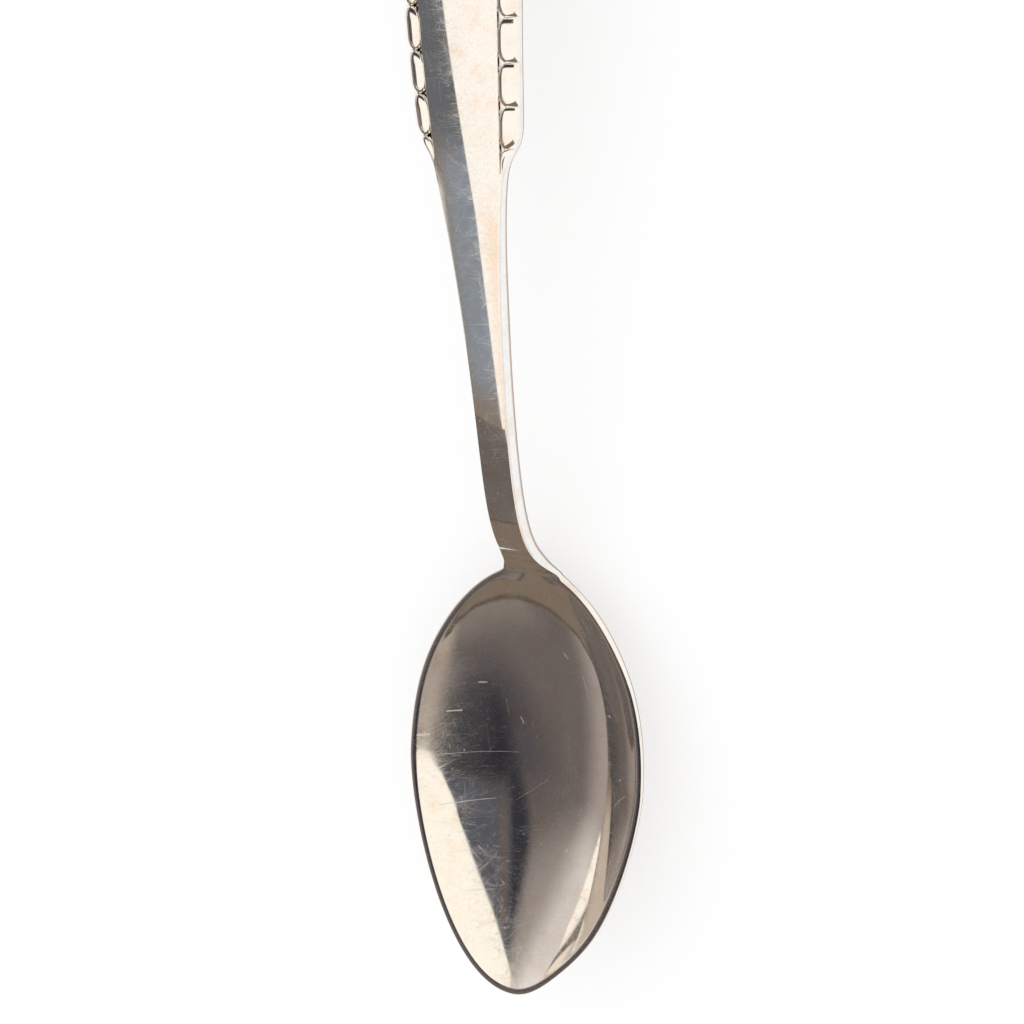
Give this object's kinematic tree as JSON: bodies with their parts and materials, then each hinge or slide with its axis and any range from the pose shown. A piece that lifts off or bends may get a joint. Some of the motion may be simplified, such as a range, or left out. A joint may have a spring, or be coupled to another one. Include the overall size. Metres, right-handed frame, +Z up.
{
  "type": "teaspoon",
  "caption": "Silver teaspoon with a pointed oval bowl, a slim arched stem and a broad rounded handle whose edge carries a row of small raised beads.",
  "frame": {"origin": "centre of the bounding box at table height, with the spoon lying at rest on its bowl and on the end of its handle", "axes": "+Y from the tip of the bowl to the end of the handle, +Z up out of the open bowl, +X across the spoon to the right of a person who looks along +Y"},
  "size_m": [0.03, 0.15, 0.0145],
  "materials": {
    "bowl_silver": "worn polished silver with fine scratches",
    "shank_silver": "polished silver with light wear",
    "bead_silver": "bright polished silver, dark tarnish in the joints"
  },
  "bodies": {
    "root": {"bowl": "bowl_silver", "stem": "shank_silver", "handle": "shank_silver", "left_shoulder_bead": "bead_silver", "right_shoulder_bead": "bead_silver", "end_bead": "bead_silver", "left_bead_1": "bead_silver", "left_bead_2": "bead_silver", "left_bead_3": "bead_silver", "left_bead_4": "bead_silver", "left_bead_5": "bead_silver", "left_bead_6": "bead_silver", "left_bead_7": "bead_silver", "left_bead_8": "bead_silver", "left_bead_9": "bead_silver", "left_bead_10": "bead_silver", "left_bead_11": "bead_silver", "right_bead_1": "bead_silver", "right_bead_2": "bead_silver", "right_bead_3": "bead_silver", "right_bead_4": "bead_silver", "right_bead_5": "bead_silver", "right_bead_6": "bead_silver", "right_bead_7": "bead_silver", "right_bead_8": "bead_silver", "right_bead_9": "bead_silver", "right_bead_10": "bead_silver", "right_bead_11": "bead_silver"}
  },
  "joints": []
}
